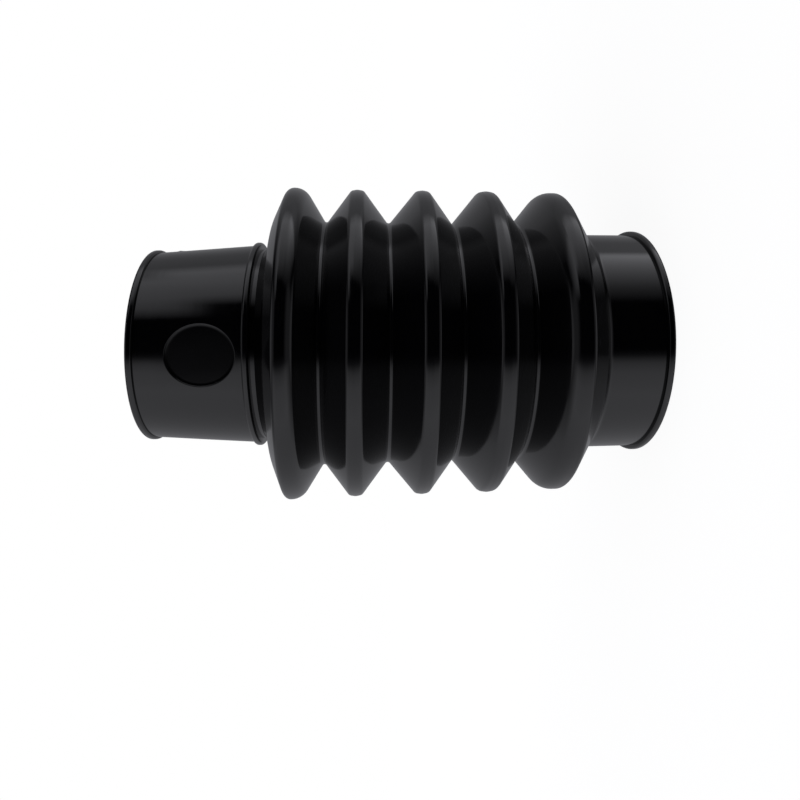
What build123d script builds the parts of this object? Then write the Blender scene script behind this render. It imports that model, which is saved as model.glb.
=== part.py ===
"""Rubber bellows moulded in one piece: a small collar, a neck, five folds and a large collar.

It stands on the end of the large collar. The origin is the centre of that end, and +Z runs along the axis
towards the small end. Sizes are in millimetres, and widths across the axis are diameters.
"""
from build123d import *
import math
import os

# Overall length, between the two open ends
length = 170.0

# Large collar, at the bottom
large_bore = 70.0
large_collar = 77.2
large_collar_length = 20.9
large_collar_foot_rounding = 2.0
large_rim_proud = 1.4
large_rim_width = 2.4

# Small collar, at the top. It widens from its rim to its root, where a bead holds the clamp.
small_bore = 60.0
small_bore_depth = 11.0
small_collar_tip = 63.4
small_collar_root = 68.4
small_collar_length = 35.6
small_rim_proud = 0.8
small_rim_width = 2.3
bead_proud = 1.1
bead_width = 2.2

# Both rims and the bead have rounded edges
rim_rounding = 0.9

# Neck between the bead and the first fold
neck = 66.0
neck_width = 4.2
neck_rounding = 1.5

# Folds, counted from the small end, evenly spread over what the length leaves them. The first stands a little
# closer to its neighbour and is a little larger, and the last has a wider crest.
fold_count = 5
fold_wall = 2.4
first_crest_from_end = 49.2
last_crest_height = 33.2
first_pitch_share = 0.93
first_crest = 107.6
crest = 106.2
crest_band = 3.8
first_crest_band = 4.1
last_crest_band = 4.5
crest_rounding = 3.0

# Valleys: the flanks would meet on valley_root, and a rounding fills that corner
valley_root = 81.8
valley_rounding = 2.2
valley_shift = 0.4

# The first fold's upper flank bends at a shoulder before it meets the neck
shoulder = 89.0
shoulder_from_neck = 1.2
shoulder_rounding = 8.5

# Oval recess in the small collar's wall, facing -Y. Its floor is flat, and the depth is that of its middle.
recess_along = 21.3
recess_around = 19.0
recess_from_end = 22.9
recess_depth = 1.9
recess_edge_rounding = 0.4


def crest_heights():
    """Heights of the crests, from the first fold down to the last."""
    first = length - first_crest_from_end
    pitch = (first - last_crest_height) / (fold_count - 2 + first_pitch_share)
    return [first] + [first - pitch * (first_pitch_share + i) for i in range(fold_count - 1)]


def fold_corners():
    """Corners of the folds on the outside, from the bottom up, as (radius, height, rounding)."""
    heights = crest_heights()
    corners = []
    for lower, upper in zip(reversed(heights), reversed(heights[:-1])):
        band_bottom = lower - crest_band / 2
        if lower == heights[-1]:
            band_bottom = lower + crest_band / 2 - last_crest_band
        corners.append((crest / 2, band_bottom, crest_rounding))
        corners.append((crest / 2, lower + crest_band / 2, crest_rounding))
        corners.append((valley_root / 2, (lower + upper) / 2 + valley_shift, valley_rounding))
    corners.append((first_crest / 2, heights[0] - first_crest_band / 2, crest_rounding))
    corners.append((first_crest / 2, heights[0] + first_crest_band / 2, crest_rounding))
    return corners


large_rim = large_collar / 2 + large_rim_proud
small_rim = small_collar_tip / 2 + small_rim_proud
bead = small_collar_root / 2 + bead_proud
bead_bottom = length - small_collar_length - bead_width
bead_top = bead_bottom + bead_width
neck_bottom = bead_bottom - neck_width
collar_foot = (large_collar / 2, large_collar_length, large_collar_foot_rounding)
shoulder_corner = (shoulder / 2, neck_bottom - shoulder_from_neck, shoulder_rounding)
neck_corner = (neck / 2, neck_bottom, neck_rounding)

outside = [
    (large_rim, 0, rim_rounding),
    (large_rim, large_rim_width, rim_rounding),
    (large_collar / 2, large_rim_width, 0),
    collar_foot,
    *fold_corners(),
    shoulder_corner,
    neck_corner,
    (neck / 2, bead_bottom, 0),
    (bead, bead_bottom, rim_rounding),
    (bead, bead_top, rim_rounding),
    (small_collar_root / 2, bead_top, 0),
    (small_collar_tip / 2, length - small_rim_width, 0),
    (small_rim, length - small_rim_width, rim_rounding),
    (small_rim, length, rim_rounding),
]


def inner_corner(before, corner, after, wall_before, wall_after):
    """Corner of the inside that lies one wall behind an outside corner, as (radius, height)."""
    lines = []
    for start, end, wall in ((before, corner, wall_before), (corner, after, wall_after)):
        run, rise = end[0] - start[0], end[1] - start[1]
        size = math.hypot(run, rise)
        along = (run / size, rise / size)
        lines.append((corner[0] - wall * along[1], corner[1] + wall * along[0], along))
    (r1, z1, d1), (r2, z2, d2) = lines
    reach = ((r2 - r1) * d2[1] - (z2 - z1) * d2[0]) / (d1[0] * d2[1] - d1[1] * d2[0])
    return r1 + reach * d1[0], z1 + reach * d1[1]


def turn_at(before, corner, after):
    """How far the outline turns at a corner: positive in a valley, negative on a crest."""
    way_in = math.atan2(corner[0] - before[0], corner[1] - before[1])
    way_out = math.atan2(after[0] - corner[0], after[1] - corner[1])
    return math.remainder(way_out - way_in, math.tau)


def inner_rounding(before, corner, after):
    """The rounding behind an outside corner: wider by the wall in a valley, and narrower by it on a crest."""
    if turn_at(before, corner, after) > 0:
        return corner[2] + fold_wall
    return max(corner[2] - fold_wall, 0)


def inside_corners():
    """Corners of the inside, from the small end down, as (radius, height, rounding)."""
    chain = [
        (large_collar / 2, 0, 0),
        collar_foot,
        *fold_corners(),
        shoulder_corner,
        neck_corner,
        (neck / 2, bead_bottom, 0),
    ]
    large_wall = (large_collar - large_bore) / 2
    walls = [large_wall] + [fold_wall] * (len(chain) - 2)
    corners = [(large_bore / 2, 0, 0)]
    for i in range(1, len(chain) - 1):
        radius, height = inner_corner(chain[i - 1], chain[i], chain[i + 1], walls[i - 1], walls[i])
        corners.append((radius, height, inner_rounding(chain[i - 1], chain[i], chain[i + 1])))
    corners.append((small_bore / 2, length - small_bore_depth, 0))
    corners.append((small_bore / 2, length, 0))
    return corners[::-1]


def roundings_that_fit(corners):
    """The rounding of each corner of a closed outline, less where the two sides beside it are too short for it."""
    count = len(corners)
    sides = [math.dist(corners[i - 1][:2], corners[i][:2]) for i in range(count)]
    reaches = []
    for i, corner in enumerate(corners):
        turn = turn_at(corners[i - 1], corner, corners[(i + 1) % count])
        reaches.append(corner[2] * math.tan(abs(turn) / 2))
    shares = [min(1, 0.95 * sides[i] / max(reaches[i - 1] + reaches[i], 0.001)) for i in range(count)]
    return [corner[2] * min(shares[i], shares[(i + 1) % count]) for i, corner in enumerate(corners)]


def collar_radius(height):
    """Radius of the small collar's tapering outside at a height."""
    share = (height - bead_top) / (length - small_rim_width - bead_top)
    return small_collar_root / 2 - (small_collar_root - small_collar_tip) / 2 * share


section = outside + inside_corners()
recess_height = length - recess_from_end
recess_floor = collar_radius(recess_height) - recess_depth
depth_at_side = math.sqrt(collar_radius(recess_height) ** 2 - (recess_around / 2) ** 2) - recess_floor
depth_at_top = collar_radius(recess_height + recess_along / 2) - recess_floor

with BuildPart() as bellows:
    with BuildSketch(Plane.XZ) as half_section:
        with BuildLine() as section_line:
            FilletPolyline(
                *[(radius, height) for radius, height, _ in section],
                radius=roundings_that_fit(section),
                close=True,
            )
        make_face()
    revolve(axis=Axis.Z)

    with BuildSketch(Plane.XZ.offset(recess_floor)) as recess_outline:
        with Locations((0, recess_height)):
            Ellipse(recess_around / 2, recess_along / 2)
    extrude(amount=bead, mode=Mode.SUBTRACT)
    curved_edges = bellows.edges().filter_by(lambda edge: edge.geom_type not in (GeomType.CIRCLE, GeomType.LINE))
    recess_edge = min(curved_edges, key=lambda edge: edge.bounding_box().min.Y)
    fillet(recess_edge, radius=min(recess_edge_rounding, 0.7 * depth_at_side, 0.7 * depth_at_top))

bellows.part.label = "bellows"

os.makedirs("parts", exist_ok=True)
export_step(bellows.part, "parts/bellows.step")
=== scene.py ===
"""Blender scene of a rubber bellows: one moulding of glossy black rubber that stands on its large collar.

The moulding's sizes are in millimetres, as in the part's source, and become metres in its mesh. The studio
and the camera are in metres. +Z runs along the axis to the small end, and -Y through the side recess.
"""
import math

import bmesh
import bpy
from mathutils import Matrix, Vector


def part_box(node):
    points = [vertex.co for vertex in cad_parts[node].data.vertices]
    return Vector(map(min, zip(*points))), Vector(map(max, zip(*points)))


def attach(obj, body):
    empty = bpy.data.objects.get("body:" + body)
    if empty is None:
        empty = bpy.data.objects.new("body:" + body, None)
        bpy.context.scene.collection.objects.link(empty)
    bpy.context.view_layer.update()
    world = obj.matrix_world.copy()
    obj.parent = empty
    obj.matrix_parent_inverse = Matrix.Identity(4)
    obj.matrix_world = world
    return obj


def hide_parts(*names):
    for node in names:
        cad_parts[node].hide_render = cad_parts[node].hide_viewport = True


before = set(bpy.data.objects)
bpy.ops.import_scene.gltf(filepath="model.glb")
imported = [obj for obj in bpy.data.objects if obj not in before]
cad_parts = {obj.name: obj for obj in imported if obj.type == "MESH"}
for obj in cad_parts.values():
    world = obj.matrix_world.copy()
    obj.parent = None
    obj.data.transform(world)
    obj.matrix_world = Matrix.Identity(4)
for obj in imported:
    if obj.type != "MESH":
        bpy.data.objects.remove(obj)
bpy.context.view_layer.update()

MM = 0.001
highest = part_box("bellows")[1]
length = highest[2] / MM

# Large collar, at the bottom
large_bore = 70.0
large_collar = 77.2
large_collar_length = 20.9
large_collar_foot_rounding = 2.0
large_rim_proud = 1.4
large_rim_width = 2.4

# Small collar, at the top, with the bead at its root
small_bore = 60.0
small_bore_depth = 11.0
small_collar_tip = 63.4
small_collar_root = 68.4
small_collar_length = 35.6
small_rim_proud = 0.8
small_rim_width = 2.3
bead_proud = 1.1
bead_width = 2.2
rim_rounding = 0.9

# Neck and shoulder above the first fold. Below the bead the neck is straight, steps in and then narrows.
neck = 66.0
neck_width = 4.2
neck_rounding = 0.7
neck_straight = 1.6
neck_step = 0.25
neck_step_rounding = 0.1
neck_foot = 63.0
shoulder = 89.0
shoulder_from_neck = 1.2
shoulder_rounding = 8.5

# Folds, counted from the small end. The first stands a little closer to its neighbour and is a little
# larger, and its crest is shifted down from the middle of its place.
fold_count = 5
fold_wall = 2.4
first_crest_from_end = 49.2
last_crest_height = 33.2
first_pitch_share = 0.93
first_crest_shift = 0.35
first_crest = highest[0] / MM * 2
crest = 106.2
crest_band = 4.2
first_crest_band = 4.6
last_crest_band = 4.8

# The crests between the first and the last have a low crown between two tight edges. The first and the
# last have none, and their edge towards the other folds is a soft one.
crest_rounding = 1.7
crest_crown = 0.35
crown_rounding = 3.0
first_crest_rounding = 2.2
soft_rounding = 5.6

# Valleys: the flanks would meet on valley_root, and a rounding fills that corner
valley_root = 83.2
valley_rounding = 1.0
valley_shift = 0.4

# Oval recess in the side of the small collar, with a flat floor. The depth is that of its middle.
recess_along = 21.3
recess_around = 19.0
recess_from_end = 22.9
recess_depth = 1.9
recess_edge_rounding = 0.385
recess_floor_rounding = 0.12

# How finely the moulding is meshed: its sides, the turn of one step in a rounding, and the rows of faces
sides = 240
outside_step = math.radians(9)
inside_step = math.radians(20)
sharpest_smooth = math.radians(38)
support_gap = 0.35
merge_gap = 0.002
recess_cells = 24
recess_edge_steps = 4
recess_floor_steps = 3
sprue_row_gap = 0.45
row_above_sprue = 165.0

# A rounding or a turn below these is left as a corner, and the roundings at the two ends of a side take
# at most this share of it
smallest_rounding = 0.05
smallest_turn = 0.01
rounded_share = 0.95

# How far round the recess the wall's rows and columns are drawn to its oval, in shares of half its size,
# and how near to the collar's outside a point has to lie for that, in millimetres
drawn_reach = 2
drawn_start = 0.999
drawn_around = 1.8
drawn_above = 1.6
least_drawn_below = 1.02
wall_tolerance = 0.4

# What a moulding of soft rubber has and its drawing hasn't: slow ripples, levels that lean, as pairs of a
# height and the slope there, and the small mark that the sprue left on the small collar
ripple_height = 0.07
ripple_size = 34.0
ripple_seed = 3.0
leans = [(20.0, 0.0), (122.0, 0.020), (129.0, 0.006), (134.0, 0.006), (170.0, 0.030)]
sprue_height = 161.8
sprue_proud = 0.45
sprue_reach = 0.8

# The camera stands where the photograph was taken from: beside the middle of the length and a little
# above the axis, with the small end at the left. The picture, the focal length and the principal point
# are in pixels of the photograph, and the turns are in radians. The recess is turned away from the camera
# by recess_turn.
picture = 800
focal_length = 662.2
principal_point = (434.6, 343.0)
camera_from_small_end = 0.0741
camera_above_axis = 0.0144
camera_distance = 0.2380
camera_yaw = 0.0990
camera_pitch = 0.0614
camera_roll = 0.0034
recess_turn = math.radians(2.6)
sensor_width = 36.0
nearest_seen = 0.01

to_camera = Vector((math.sin(recess_turn), -math.cos(recess_turn), 0))
picture_up = Vector((math.cos(recess_turn), math.sin(recess_turn), 0))
picture_right = Vector((0, 0, -1))


def crest_heights():
    """Heights of the crests, from the first fold down to the last."""
    first = length - first_crest_from_end
    pitch = (first - last_crest_height) / (fold_count - 2 + first_pitch_share)
    return [first] + [first - pitch * (first_pitch_share + i) for i in range(fold_count - 1)]


def fold_corners():
    """Corners of the folds on the outside, from the bottom up, as (radius, height, rounding)."""
    heights = crest_heights()
    corners = []
    for lower, upper in zip(reversed(heights), reversed(heights[:-1])):
        is_last = lower == heights[-1]
        band_bottom = lower + crest_band / 2 - (last_crest_band if is_last else crest_band)
        corners.append((crest / 2, band_bottom, crest_rounding))
        if not is_last:
            corners.append((crest / 2 + crest_crown, lower, crown_rounding))
        corners.append((crest / 2, lower + crest_band / 2, soft_rounding if is_last else crest_rounding))
        corners.append((valley_root / 2, (lower + upper) / 2 + valley_shift, valley_rounding))
    corners.append((first_crest / 2, heights[0] - first_crest_band / 2 - first_crest_shift, soft_rounding))
    upper_edge = heights[0] + first_crest_band / 2 - first_crest_shift
    corners.append((first_crest / 2, upper_edge, first_crest_rounding))
    return corners


large_rim = large_collar / 2 + large_rim_proud
small_rim = small_collar_tip / 2 + small_rim_proud
bead = small_collar_root / 2 + bead_proud
bead_bottom = length - small_collar_length - bead_width
bead_top = bead_bottom + bead_width
neck_bottom = bead_bottom - neck_width
collar_foot = (large_collar / 2, large_collar_length, large_collar_foot_rounding)
shoulder_corner = (shoulder / 2, neck_bottom - shoulder_from_neck, shoulder_rounding)
recess_height = length - recess_from_end

# Radius that parts the small collar's outside from its bore
wall_parting = small_bore / 2 + 1

outside = [
    (large_rim, 0, rim_rounding),
    (large_rim, large_rim_width, rim_rounding),
    (large_collar / 2, large_rim_width, 0),
    collar_foot,
    *fold_corners(),
    shoulder_corner,
    (neck_foot / 2, neck_bottom, neck_rounding),
    (neck / 2 - neck_step, bead_bottom - neck_straight, 0),
    (neck / 2, bead_bottom - neck_straight, neck_step_rounding),
    (neck / 2, bead_bottom, 0),
    (bead, bead_bottom, rim_rounding),
    (bead, bead_top, rim_rounding),
    (small_collar_root / 2, bead_top, 0),
    (small_collar_tip / 2, length - small_rim_width, 0),
    (small_rim, length - small_rim_width, rim_rounding),
    (small_rim, length, rim_rounding),
]


def inner_corner(before, corner, after, wall_before, wall_after):
    """Corner of the inside that lies one wall behind an outside corner, as (radius, height)."""
    lines = []
    for start, end, wall in ((before, corner, wall_before), (corner, after, wall_after)):
        run, rise = end[0] - start[0], end[1] - start[1]
        size = math.hypot(run, rise)
        along = (run / size, rise / size)
        lines.append((corner[0] - wall * along[1], corner[1] + wall * along[0], along))
    (r1, z1, d1), (r2, z2, d2) = lines
    reach = ((r2 - r1) * d2[1] - (z2 - z1) * d2[0]) / (d1[0] * d2[1] - d1[1] * d2[0])
    return r1 + reach * d1[0], z1 + reach * d1[1]


def turn_at(before, corner, after):
    """How far the outline turns at a corner: positive in a valley, negative on a crest."""
    way_in = math.atan2(corner[0] - before[0], corner[1] - before[1])
    way_out = math.atan2(after[0] - corner[0], after[1] - corner[1])
    return math.remainder(way_out - way_in, math.tau)


def inside_corners():
    """Corners of the inside, from the small end down, as (radius, height, rounding)."""
    chain = [
        (large_collar / 2, 0, 0),
        collar_foot,
        *fold_corners(),
        shoulder_corner,
        (neck / 2, neck_bottom, neck_rounding),
        (neck / 2, bead_bottom, 0),
    ]
    large_wall = (large_collar - large_bore) / 2
    walls = [large_wall] + [fold_wall] * (len(chain) - 2)
    corners = [(large_bore / 2, 0, 0)]
    for i in range(1, len(chain) - 1):
        before, corner, after = chain[i - 1], chain[i], chain[i + 1]
        in_valley = turn_at(before, corner, after) > 0
        rounding = corner[2] + fold_wall if in_valley else corner[2] - fold_wall
        corners.append((*inner_corner(before, corner, after, walls[i - 1], walls[i]), max(rounding, 0)))
    corners.append((small_bore / 2, length - small_bore_depth, 0))
    corners.append((small_bore / 2, length, 0))
    return corners[::-1]


def roundings_that_fit(corners):
    """The rounding of each corner of a closed outline, less where the two sides beside it are too short."""
    count = len(corners)
    lengths = [math.dist(corners[i - 1][:2], corners[i][:2]) for i in range(count)]
    reaches = []
    for i, corner in enumerate(corners):
        turn = turn_at(corners[i - 1], corner, corners[(i + 1) % count])
        reaches.append(corner[2] * math.tan(abs(turn) / 2))
    shares = [
        min(1, rounded_share * lengths[i] / max(reaches[i - 1] + reaches[i], 0.001))
        for i in range(count)
    ]
    return [corner[2] * min(shares[i], shares[(i + 1) % count]) for i, corner in enumerate(corners)]


def rounded_corner(before, corner, after, rounding, step):
    """Points of one corner's arc, or the corner itself where it is sharp."""
    here = Vector(corner[:2])
    back = (Vector(before[:2]) - here).normalized()
    ahead = (Vector(after[:2]) - here).normalized()
    turn = abs(turn_at(before, corner, after))
    if rounding < smallest_rounding or turn < smallest_turn:
        return [here]
    reach = rounding * math.tan(turn / 2)
    centre = here + (back + ahead).normalized() * (rounding / math.cos(turn / 2))
    start = (here + back * reach - centre).normalized()
    end = (here + ahead * reach - centre).normalized()
    count = max(2, math.ceil(turn / step))
    return [centre + start.slerp(end, i / count) * rounding for i in range(count + 1)]


def recess_rows():
    """Heights of the rows of faces from below the recess to above it, and past the sprue mark."""
    half = recess_along / 2 + recess_edge_rounding
    rows = [recess_height - half + 2 * half * i / recess_cells for i in range(recess_cells + 1)]
    above = [sprue_height + sprue_row_gap * i for i in range(-1, 4)]
    return rows + above + [row_above_sprue]


def section_points():
    """The section as a closed line of (radius, height), with rows for the recess and by each rounding."""
    corners = outside + inside_corners()
    roundings = roundings_that_fit(corners)
    count = len(corners)
    arcs = []
    for i, corner in enumerate(corners):
        step = outside_step if i < len(outside) else inside_step
        arcs.append(rounded_corner(corners[i - 1], corner, corners[(i + 1) % count], roundings[i], step))
    points = []
    for i, arc in enumerate(arcs):
        points += arc
        start, end = arc[-1], arcs[(i + 1) % count][0]
        side = end - start
        if side.length < 4 * support_gap:
            continue
        along = [support_gap / side.length, 1 - support_gap / side.length]
        if side.length > recess_along and start.x > wall_parting:
            along += [(height - start.y) / side.y for height in recess_rows()]
        ends = support_gap / side.length
        points += [start + side * share for share in sorted(along) if ends <= share <= 1 - ends]
    return points


def add_node(tree, kind, inputs=None, **settings):
    """A node with its settings; each input takes a value or the socket that feeds it."""
    node = tree.nodes.new(kind)
    for name, value in settings.items():
        setattr(node, name, value)
    for name, value in (inputs or {}).items():
        if isinstance(value, bpy.types.NodeSocket):
            tree.links.new(value, node.inputs[name])
        else:
            node.inputs[name].default_value = value
    return node


def calc(tree, operation, first, second=0.0, third=0.0):
    """The result socket of a Math node."""
    node = add_node(tree, "ShaderNodeMath", {0: first, 1: second, 2: third}, operation=operation)
    return node.outputs[0]


def revolving_tree():
    """Geometry Nodes that turn a section into a closed ring-shaped wall with slow ripples."""
    tree = bpy.data.node_groups.new("revolved_moulding", "GeometryNodeTree")
    interface = tree.interface
    interface.new_socket(name="Section", in_out="INPUT", socket_type="NodeSocketGeometry")
    interface.new_socket(name="Sides", in_out="INPUT", socket_type="NodeSocketInt")
    interface.new_socket(name="Ripple Height", in_out="INPUT", socket_type="NodeSocketFloat")
    interface.new_socket(name="Ripple Size", in_out="INPUT", socket_type="NodeSocketFloat")
    interface.new_socket(name="Seed", in_out="INPUT", socket_type="NodeSocketFloat")
    interface.new_socket(name="Rubber", in_out="INPUT", socket_type="NodeSocketMaterial")
    interface.new_socket(name="Moulding", in_out="OUTPUT", socket_type="NodeSocketGeometry")
    given = tree.nodes.new("NodeGroupInput").outputs
    section = given["Section"]

    size = add_node(tree, "GeometryNodeAttributeDomainSize", {"Geometry": section}, component="MESH")
    rows = size.outputs["Point Count"]
    columns = calc(tree, "ADD", given["Sides"], 1.0)
    grid = add_node(tree, "GeometryNodeMeshGrid", {
        "Vertices X": calc(tree, "ADD", rows, 1.0),
        "Vertices Y": columns,
    })
    index = tree.nodes.new("GeometryNodeInputIndex").outputs["Index"]
    line = calc(tree, "FLOOR", calc(tree, "DIVIDE", index, columns))
    column = calc(tree, "SUBTRACT", index, calc(tree, "MULTIPLY", line, columns))
    row = calc(tree, "MODULO", line, rows)

    position = tree.nodes.new("GeometryNodeInputPosition").outputs[0]
    sample = add_node(tree, "GeometryNodeSampleIndex", {
        "Geometry": section, "Value": position, "Index": row,
    }, data_type="FLOAT_VECTOR")
    point = add_node(tree, "ShaderNodeSeparateXYZ", {0: sample.outputs[0]}).outputs
    turn = calc(tree, "DIVIDE", calc(tree, "MULTIPLY", column, -math.tau), given["Sides"])
    angle = calc(tree, "ADD", turn, math.pi / 2)
    east = calc(tree, "COSINE", angle)
    north = calc(tree, "SINE", angle)

    reference = small_collar_root / 2 * MM
    around = add_node(tree, "ShaderNodeCombineXYZ", {
        0: calc(tree, "MULTIPLY", east, reference),
        1: calc(tree, "MULTIPLY", north, reference),
        2: point["Z"],
    })
    noise = add_node(tree, "ShaderNodeTexNoise", {
        "Vector": around.outputs[0],
        "W": given["Seed"],
        "Scale": calc(tree, "DIVIDE", 1.0, given["Ripple Size"]),
        "Detail": 1.0,
    }, noise_dimensions="4D")
    swing = calc(tree, "MULTIPLY_ADD", noise.outputs[0], 2.0, -1.0)
    radius = calc(tree, "MULTIPLY_ADD", swing, given["Ripple Height"], point["X"])
    place = add_node(tree, "ShaderNodeCombineXYZ", {
        0: calc(tree, "MULTIPLY", radius, east),
        1: calc(tree, "MULTIPLY", radius, north),
        2: point["Z"],
    })

    wall = add_node(tree, "GeometryNodeStoreNamedAttribute", {
        "Geometry": grid.outputs["Mesh"], "Name": "row", "Value": row,
    }, data_type="INT")
    wall = add_node(tree, "GeometryNodeStoreNamedAttribute", {
        "Geometry": wall.outputs[0], "Name": "column", "Value": column,
    }, data_type="INT")
    wall = add_node(tree, "GeometryNodeSetPosition", {
        "Geometry": wall.outputs[0], "Position": place.outputs[0],
    })
    wall = add_node(tree, "GeometryNodeMergeByDistance", {
        "Geometry": wall.outputs[0], "Distance": merge_gap * MM,
    })
    wall = add_node(tree, "GeometryNodeRealizeInstances", {"Geometry": wall.outputs[0]})
    wall = add_node(tree, "GeometryNodeSetMaterial", {
        "Geometry": wall.outputs[0], "Material": given["Rubber"],
    })
    add_node(tree, "NodeGroupOutput", {"Moulding": wall.outputs[0]})
    return tree


def revolved_moulding(points, material):
    """The closed wall that the section sweeps round the axis, as a plain mesh."""
    section = bpy.data.meshes.new("bellows_section")
    places = [(point.x * MM, 0, point.y * MM) for point in points]
    section.from_pydata(places, [(i - 1, i) for i in range(1, len(places))], [])
    maker = bpy.data.objects.new("bellows_section", section)
    bpy.context.scene.collection.objects.link(maker)
    tree = revolving_tree()
    modifier = maker.modifiers.new("revolved_moulding", "NODES")
    modifier.node_group = tree
    wanted = {
        "Sides": sides,
        "Ripple Height": ripple_height * MM,
        "Ripple Size": ripple_size * MM,
        "Seed": ripple_seed,
        "Rubber": material,
    }
    for item in tree.interface.items_tree:
        if item.name in wanted and item.in_out == "INPUT":
            modifier[item.identifier] = wanted[item.name]
    bpy.context.view_layer.update()
    evaluated = maker.evaluated_get(bpy.context.evaluated_depsgraph_get())
    mesh = bpy.data.meshes.new_from_object(evaluated)
    maker.modifiers.remove(modifier)
    bpy.data.objects.remove(maker)
    return mesh


def oval_angle(across, along):
    """Where a point of a square frame goes on an oval, as the oval's angle."""
    if abs(across) >= abs(along):
        return math.pi / 4 * along / across + (math.pi if across < 0 else 0)
    return math.pi / 2 - math.pi / 4 * across / along + (math.pi if along < 0 else 0)


def frame_steps(half):
    """The cells' corners round a square frame of the recess, in order, counted from its middle."""
    run = range(-half, half)
    return (
        [(half, i) for i in run] + [(-i, half) for i in run]
        + [(-half, -i) for i in run] + [(i, -half) for i in run]
    )


def collar_radius(height):
    """Outside radius of the small collar's tapering wall at a height."""
    share = (height - bead_top) / (length - small_rim_width - bead_top)
    return small_collar_root / 2 - (small_collar_root - small_collar_tip) / 2 * share


recess_floor = collar_radius(recess_height) - recess_depth


def fade(value, limit):
    """1 up to 1, and down to 0 at the limit."""
    return min(1.0, max(0.0, (limit - abs(value)) / (limit - 1)))


def fit_rows_to_recess(grid, middle_row):
    """Draws the wall's rows and columns round the oval, so that a square frame of cells becomes its edge."""
    half = recess_cells // 2
    middle_column = sides // 2
    frame_angle = math.tau / sides * half
    frame_height = recess_along / 2 + recess_edge_rounding
    oval = (recess_around / 2 + recess_edge_rounding, frame_height)
    clear_below = (recess_height - bead_top - support_gap) / frame_height
    for (row, column), vert in grid.items():
        height = vert.co.z / MM
        radius = math.hypot(vert.co.x, vert.co.y) / MM
        across = (middle_column - column) / half
        along = (height - recess_height) / frame_height
        size = max(abs(across), abs(along))
        is_near = abs(row - middle_row) <= 3 * half and drawn_start <= size <= drawn_reach
        if not is_near or abs(radius - collar_radius(height)) > wall_tolerance:
            continue
        angle = oval_angle(across, along)
        frame_point = (radius * math.sin(frame_angle * across / size), frame_height * along / size)
        reach = drawn_above if along > 0 else max(clear_below, least_drawn_below)
        share = fade(across, drawn_around) * fade(along, reach)
        x = radius * math.sin(frame_angle * across) + share * (oval[0] * math.cos(angle) - frame_point[0])
        z = height + share * (oval[1] * math.sin(angle) - frame_point[1])
        radius += collar_radius(z) - collar_radius(height)
        vert.co = Vector((x, -math.sqrt(radius ** 2 - x * x), z)) * MM


def recess_ring(shell, half, size, inset, surface):
    """Points round the recess, on a surface y(x, z): a share of the oval's size, drawn in by the inset."""
    ring = []
    for across, along in frame_steps(half):
        angle = oval_angle(across, along)
        x = (recess_around / 2 - inset) * size * math.cos(angle)
        z = recess_height + (recess_along / 2 - inset) * size * math.sin(angle)
        ring.append(shell.verts.new(Vector((x, surface(x, z), z)) * MM))
    return ring


def sink_recess(shell, points):
    """Sinks the oval recess into the small collar's wall, with rounded edges at its mouth and its floor."""
    row_layer = shell.verts.layers.int["row"]
    column_layer = shell.verts.layers.int["column"]
    grid = {(vert[row_layer], vert[column_layer]): vert for vert in shell.verts}
    half = recess_cells // 2
    middle_column = sides // 2
    on_wall = [i for i, point in enumerate(points) if wall_parting < point.x < bead]
    middle_row = min(on_wall, key=lambda i: abs(points[i].y - recess_height))
    fit_rows_to_recess(grid, middle_row)
    rings = [[grid[(middle_row + along, middle_column - across)] for across, along in frame_steps(half)]]
    within = range(1 - half, half)
    cut_out = [grid[(middle_row + along, middle_column + across)] for along in within for across in within]
    bmesh.ops.delete(shell, geom=cut_out, context="VERTS")
    for i in range(1, recess_edge_steps + 1):
        bend = math.radians(90 * i / recess_edge_steps)
        sunk = recess_edge_rounding * (1 - math.cos(bend))
        inset = recess_edge_rounding * (math.sin(bend) - 1)
        rings.append(recess_ring(
            shell, half, 1, inset, lambda x, z: sunk - math.sqrt(collar_radius(z) ** 2 - x * x),
        ))
    for i in range(recess_floor_steps + 1):
        bend = math.radians(90 * i / recess_floor_steps)
        floor_level = -recess_floor - recess_floor_rounding * (1 - math.sin(bend))
        inset = recess_floor_rounding * (1 - math.cos(bend))
        rings.append(recess_ring(shell, half, 1, inset, lambda x, z: floor_level))
    for near, far in zip(rings, rings[1:]):
        for i in range(len(near)):
            shell.faces.new((near[i - 1], near[i], far[i], far[i - 1]))
    lay_recess_floor(shell, rings[-1])


def lay_recess_floor(shell, edge):
    """Fills the recess's floor with ever smaller square frames of cells inside its edge."""
    half = recess_cells // 2
    floor = dict(zip(frame_steps(half), edge))
    for size in range(half - 1, 0, -1):
        ring = recess_ring(shell, size, size / half, recess_floor_rounding, lambda x, z: -recess_floor)
        floor.update(zip(frame_steps(size), ring))
    floor[(0, 0)] = shell.verts.new(Vector((0, -recess_floor, recess_height)) * MM)
    for across in range(-half, half):
        for along in range(-half, half):
            cell = [(across, along), (across + 1, along), (across + 1, along + 1), (across, along + 1)]
            shell.faces.new([floor[corner] for corner in cell])


def lean_at(height):
    """How far a level of the moulding leans from square to the axis, as a slope."""
    for (low, low_lean), (high, high_lean) in zip(leans, leans[1:]):
        if low <= height <= high:
            return low_lean + (high_lean - low_lean) * (height - low) / (high - low)
    return 0.0


def settle(shell):
    """Leans the levels as soft rubber stands, and raises the sprue mark near the small rim."""
    mark_middle = Vector((picture_up.x, picture_up.y, 0)) * collar_radius(sprue_height)
    mark_middle.z = sprue_height
    for vert in shell.verts:
        place = vert.co / MM
        flat = Vector((place.x, place.y, 0))
        distance = (place - mark_middle).length
        if distance < 3 * sprue_reach and flat.length > small_collar_tip / 2:
            place += flat.normalized() * sprue_proud * math.exp(-((distance / sprue_reach) ** 2))
        drop = small_rim * max(0.0, (place.z - bead_top) / (length - bead_top))
        place.z -= lean_at(place.z) * (flat.dot(picture_up) + drop)
        vert.co = place * MM


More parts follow.
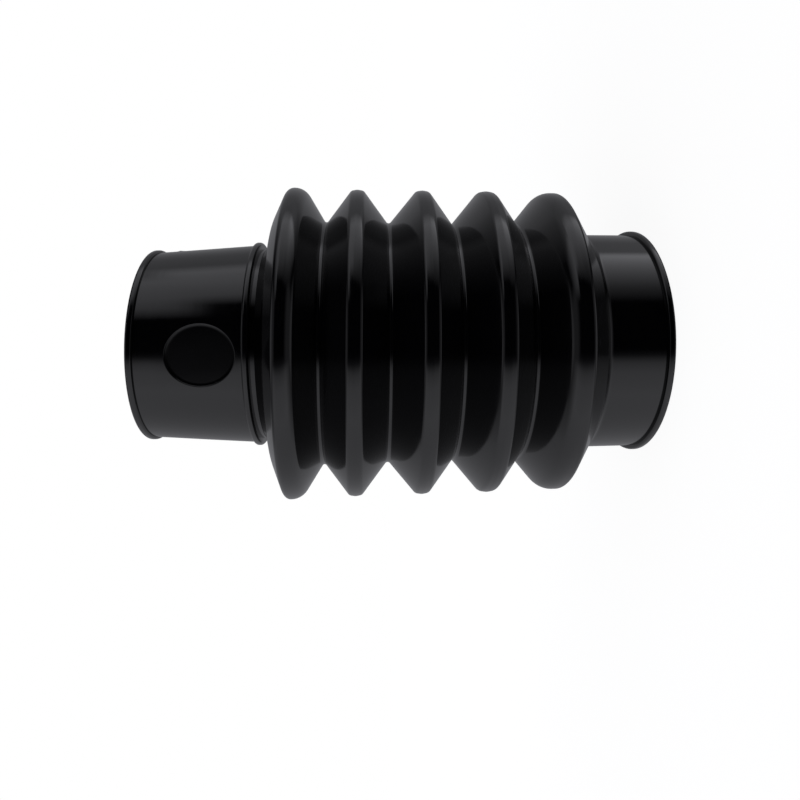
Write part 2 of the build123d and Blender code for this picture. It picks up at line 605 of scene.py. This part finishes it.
def bellows_moulding(material):
    """The whole bellows as one closed shell."""
    points = section_points()
    mesh = revolved_moulding(points, material)
    shell = bmesh.new()
    shell.from_mesh(mesh)
    sink_recess(shell, points)
    settle(shell)
    bmesh.ops.recalc_face_normals(shell, faces=shell.faces)
    for edge in shell.edges:
        edge.smooth = edge.calc_face_angle(0) < sharpest_smooth
    rubber = mesh.materials.find(material.name)
    for face in shell.faces:
        face.smooth = True
        face.material_index = rubber
    shell.to_mesh(mesh)
    shell.free()
    mesh.name = "rubber_bellows"
    piece = bpy.data.objects.new("rubber_bellows", mesh)
    bpy.context.scene.collection.objects.link(piece)
    return piece


# Black rubber: its colour where it is clear and where it has a bloom, its least and most roughness, and
# how deep its fine lines and its grain are, in millimetres
clear_black = (0.0011, 0.0011, 0.0016, 1)
bloomed_black = (0.0024, 0.0024, 0.0030, 1)
least_rough = 0.08
most_rough = 0.13
mould_line_depth = 0.012
grain_depth = 0.004


def rubber_material():
    """Smooth, glossy black rubber with fine grain, faint mould lines round it and uneven roughness."""
    material = bpy.data.materials.new("glossy_black_rubber")
    material.use_nodes = True
    tree = material.node_tree
    tree.nodes.clear()
    place = tree.nodes.new("ShaderNodeTexCoord").outputs["Object"]

    bloom = add_node(tree, "ShaderNodeTexNoise", {"Vector": place, "Scale": 38.0, "Detail": 3.0})
    colour = add_node(tree, "ShaderNodeMix", {
        0: bloom.outputs[0],
        6: clear_black,
        7: bloomed_black,
    }, data_type="RGBA")

    smear = add_node(tree, "ShaderNodeMapping", {"Vector": place, "Scale": (1.0, 1.0, 0.12)})
    smears = add_node(tree, "ShaderNodeTexNoise", {
        "Vector": smear.outputs[0], "Scale": 160.0, "Detail": 2.0,
    })
    roughness = add_node(tree, "ShaderNodeMapRange", {
        "Value": smears.outputs[0],
        "From Min": 0.3, "From Max": 0.7,
        "To Min": least_rough, "To Max": most_rough,
    })

    mould = add_node(tree, "ShaderNodeMapping", {"Vector": place, "Scale": (0.02, 0.02, 1.0)})
    mould_lines = add_node(tree, "ShaderNodeTexNoise", {
        "Vector": mould.outputs[0], "Scale": 900.0, "Detail": 1.0,
    })
    grain = add_node(tree, "ShaderNodeTexNoise", {"Vector": place, "Scale": 2600.0, "Detail": 2.0})
    lined = add_node(tree, "ShaderNodeBump", {
        "Height": mould_lines.outputs[0], "Strength": 0.5, "Distance": mould_line_depth * MM,
    })
    grained = add_node(tree, "ShaderNodeBump", {
        "Height": grain.outputs[0], "Normal": lined.outputs[0],
        "Strength": 0.3, "Distance": grain_depth * MM,
    })
    shader = add_node(tree, "ShaderNodeBsdfPrincipled", {
        "Base Color": colour.outputs[2],
        "Roughness": roughness.outputs[0],
        "Normal": grained.outputs[0],
        "IOR": 1.5,
    })
    add_node(tree, "ShaderNodeOutputMaterial", {"Surface": shader.outputs[0]})
    return material


# The studio's light by its direction round the object's axis, in degrees from the camera towards the top
# of the picture, and how strong it is there: a white table below, a dark room behind the camera, and a
# long soft panel above. Beside the small end the panel hangs lower, and beside the large end it is
# brightest at its top.
table_light = [
    (-180, 0.25), (-150, 0.30), (-100, 0.60), (-54, 0.88),
    (-30, 0.78), (-20, 0.55), (-12, 0.08), (-6, 0),
]
large_end_panel = [(44, 0), (60, 0.30), (76, 0.80), (103, 1.65), (110, 0.50), (130, 0.30), (180, 0.25)]
fold_panel = [(46, 0), (60, 0.45), (78, 0.92), (98, 1.15), (110, 0.42), (130, 0.30), (180, 0.25)]
collar_panel = [(50, 0), (62, 0.75), (80, 1.00), (98, 1.05), (110, 0.42), (130, 0.30), (180, 0.25)]
tip_panel = [(34, 0), (48, 0.65), (60, 0.85), (86, 1.00), (99, 0.48), (130, 0.30), (180, 0.25)]
light_peak = 2.0
light_colour = (0.94, 0.945, 1, 1)

# Where the panel changes along the axis, from one angle to the other, positive towards the small end
folds_to_large_end = (-10.0, -20.0)
folds_to_collar = (8.0, 16.0)
collar_to_tip = (21.5, 24.0)

# Where the table passes into the panel round the axis, and where each of them ends along the axis
table_to_panel = (10.0, 20.0)
table_ends = (45.0, 80.0)
panel_ends = (28.0, 58.0)
left_over = 0.01

# A soft light to either side: a glow in front that fades round the axis, and a stronger one at the ends
glow_starts = (32.0, 50.0)
glow_fades = (50.0, 70.0)
glow_strength = 0.20
end_glow_starts = (62.0, 76.0)
end_glow_strength = 0.40

# The floor, in metres: painted white, and glowing a little where it is seen, so its shadow stays faint
floor_reach = 3.0
floor_white = (0.85, 0.85, 0.85, 1)
floor_glow = 1.31
floor_glow_share = 0.7


def light_profile(tree, around, stops):
    """The light's strength by the angle round the axis, from a table of (degrees, strength)."""
    share = calc(tree, "DIVIDE", calc(tree, "ADD", around, 180.0), 360.0)
    ramp = add_node(tree, "ShaderNodeValToRGB", {0: share})
    elements = ramp.color_ramp.elements
    for _ in range(len(stops) - 2):
        elements.new(0.5)
    for element, (degrees, strength) in zip(elements, stops):
        element.position = (degrees + 180) / 360
        element.color = (*[strength / light_peak] * 3, 1)
    return calc(tree, "MULTIPLY", ramp.outputs[0], light_peak)


def seen_by_camera(tree):
    """1 for a ray that comes from the camera, also through something clear, and 0 for any other."""
    path = tree.nodes.new("ShaderNodeLightPath").outputs
    return calc(tree, "MAXIMUM", path["Is Camera Ray"], path["Is Transmission Ray"])


def studio_world():
    """A white room with a dark side behind the camera; the camera itself sees plain white."""
    world = bpy.data.worlds.new("studio")
    bpy.context.scene.world = world
    world.use_nodes = True
    tree = world.node_tree
    tree.nodes.clear()
    way = tree.nodes.new("ShaderNodeTexCoord").outputs["Generated"]

    def along(direction):
        product = add_node(tree, "ShaderNodeVectorMath", {0: way, 1: direction}, operation="DOT_PRODUCT")
        return product.outputs["Value"]

    around = calc(tree, "DEGREES", calc(tree, "ARCTAN2", along(picture_up), along(to_camera)))
    sideways = calc(tree, "DEGREES", calc(tree, "ARCSINE", along(-picture_right)))

    def step(value, limits, low=0.0, high=1.0):
        return add_node(tree, "ShaderNodeMapRange", {
            "Value": value, "From Min": limits[0], "From Max": limits[1], "To Min": low, "To Max": high,
        }).outputs[0]

    def blend(first, second, share):
        kept = calc(tree, "MULTIPLY", first, calc(tree, "SUBTRACT", 1.0, share))
        return calc(tree, "MULTIPLY_ADD", second, share, kept)

    large_end, folds, collar, tip = (
        light_profile(tree, around, table_light + panel)
        for panel in (large_end_panel, fold_panel, collar_panel, tip_panel)
    )
    across = blend(folds, large_end, step(sideways, folds_to_large_end))
    across = blend(across, collar, step(sideways, folds_to_collar))
    across = blend(across, tip, step(sideways, collar_to_tip))
    aside = calc(tree, "ABSOLUTE", sideways)
    panel_end = step(aside, panel_ends, 1.0, left_over)
    table_end = step(aside, table_ends, 1.0, left_over)
    ends = blend(table_end, panel_end, step(around, table_to_panel))
    in_front = step(calc(tree, "ABSOLUTE", around), glow_fades, glow_strength, left_over)
    side_glow = calc(tree, "MULTIPLY", step(aside, glow_starts), in_front)
    end_light = calc(tree, "MAXIMUM", side_glow, step(aside, end_glow_starts, 0.0, end_glow_strength))
    strength = calc(tree, "MAXIMUM", calc(tree, "MULTIPLY", across, ends), end_light)

    lit = add_node(tree, "ShaderNodeBackground", {"Color": light_colour, "Strength": strength})
    plain = add_node(tree, "ShaderNodeBackground", {"Color": (1, 1, 1, 1), "Strength": 1.0})
    both = add_node(tree, "ShaderNodeMixShader", {
        0: seen_by_camera(tree), 1: lit.outputs[0], 2: plain.outputs[0],
    })
    add_node(tree, "ShaderNodeOutputWorld", {"Surface": both.outputs[0]})


def studio_floor():
    """A plain white floor under the object that keeps a faint shadow."""
    material = bpy.data.materials.new("white_floor")
    material.use_nodes = True
    tree = material.node_tree
    tree.nodes.clear()
    painted = add_node(tree, "ShaderNodeBsdfDiffuse", {"Color": floor_white})
    glow = add_node(tree, "ShaderNodeEmission", {"Color": (1, 1, 1, 1), "Strength": floor_glow})
    share = calc(tree, "MULTIPLY", seen_by_camera(tree), floor_glow_share)
    both = add_node(tree, "ShaderNodeMixShader", {0: share, 1: painted.outputs[0], 2: glow.outputs[0]})
    add_node(tree, "ShaderNodeOutputMaterial", {"Surface": both.outputs[0]})
    mesh = bpy.data.meshes.new("floor")
    corners = [(-1, -1), (1, -1), (1, 1), (-1, 1)]
    mesh.from_pydata([(x * floor_reach, y * floor_reach, 0) for x, y in corners], [], [(0, 1, 2, 3)])
    mesh.materials.append(material)
    floor = bpy.data.objects.new("floor", mesh)
    bpy.context.scene.collection.objects.link(floor)
    floor.visible_glossy = False


def photograph_camera():
    """The camera, turned by its own angles about the picture's up, right and depth, one after another."""
    yaw = Matrix.Rotation(camera_yaw, 3, "Y")
    pitch = Matrix.Rotation(camera_pitch, 3, "X")
    roll = Matrix.Rotation(camera_roll, 3, "Z")
    turned = (roll @ pitch @ yaw).transposed()
    picture_axes = Matrix((picture_right, picture_up, to_camera)).transposed()
    place = (
        Vector((0, 0, highest[2])) + picture_right * camera_from_small_end
        + picture_up * camera_above_axis + to_camera * camera_distance
    )
    lens = bpy.data.cameras.new("camera")
    lens.sensor_width = sensor_width
    lens.lens = focal_length / picture * sensor_width
    lens.shift_x = (picture / 2 - principal_point[0]) / picture
    lens.shift_y = (principal_point[1] - picture / 2) / picture
    lens.clip_start = nearest_seen
    camera = bpy.data.objects.new("camera", lens)
    camera.matrix_world = Matrix.Translation(place) @ (picture_axes @ turned).to_4x4()
    bpy.context.scene.collection.objects.link(camera)
    bpy.context.scene.camera = camera


photograph_camera()
studio_world()
studio_floor()
bellows = bellows_moulding(rubber_material())
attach(bellows, "root")
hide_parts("bellows")

bpy.context.scene.view_settings.view_transform = "Standard"
bpy.context.view_layer.update()
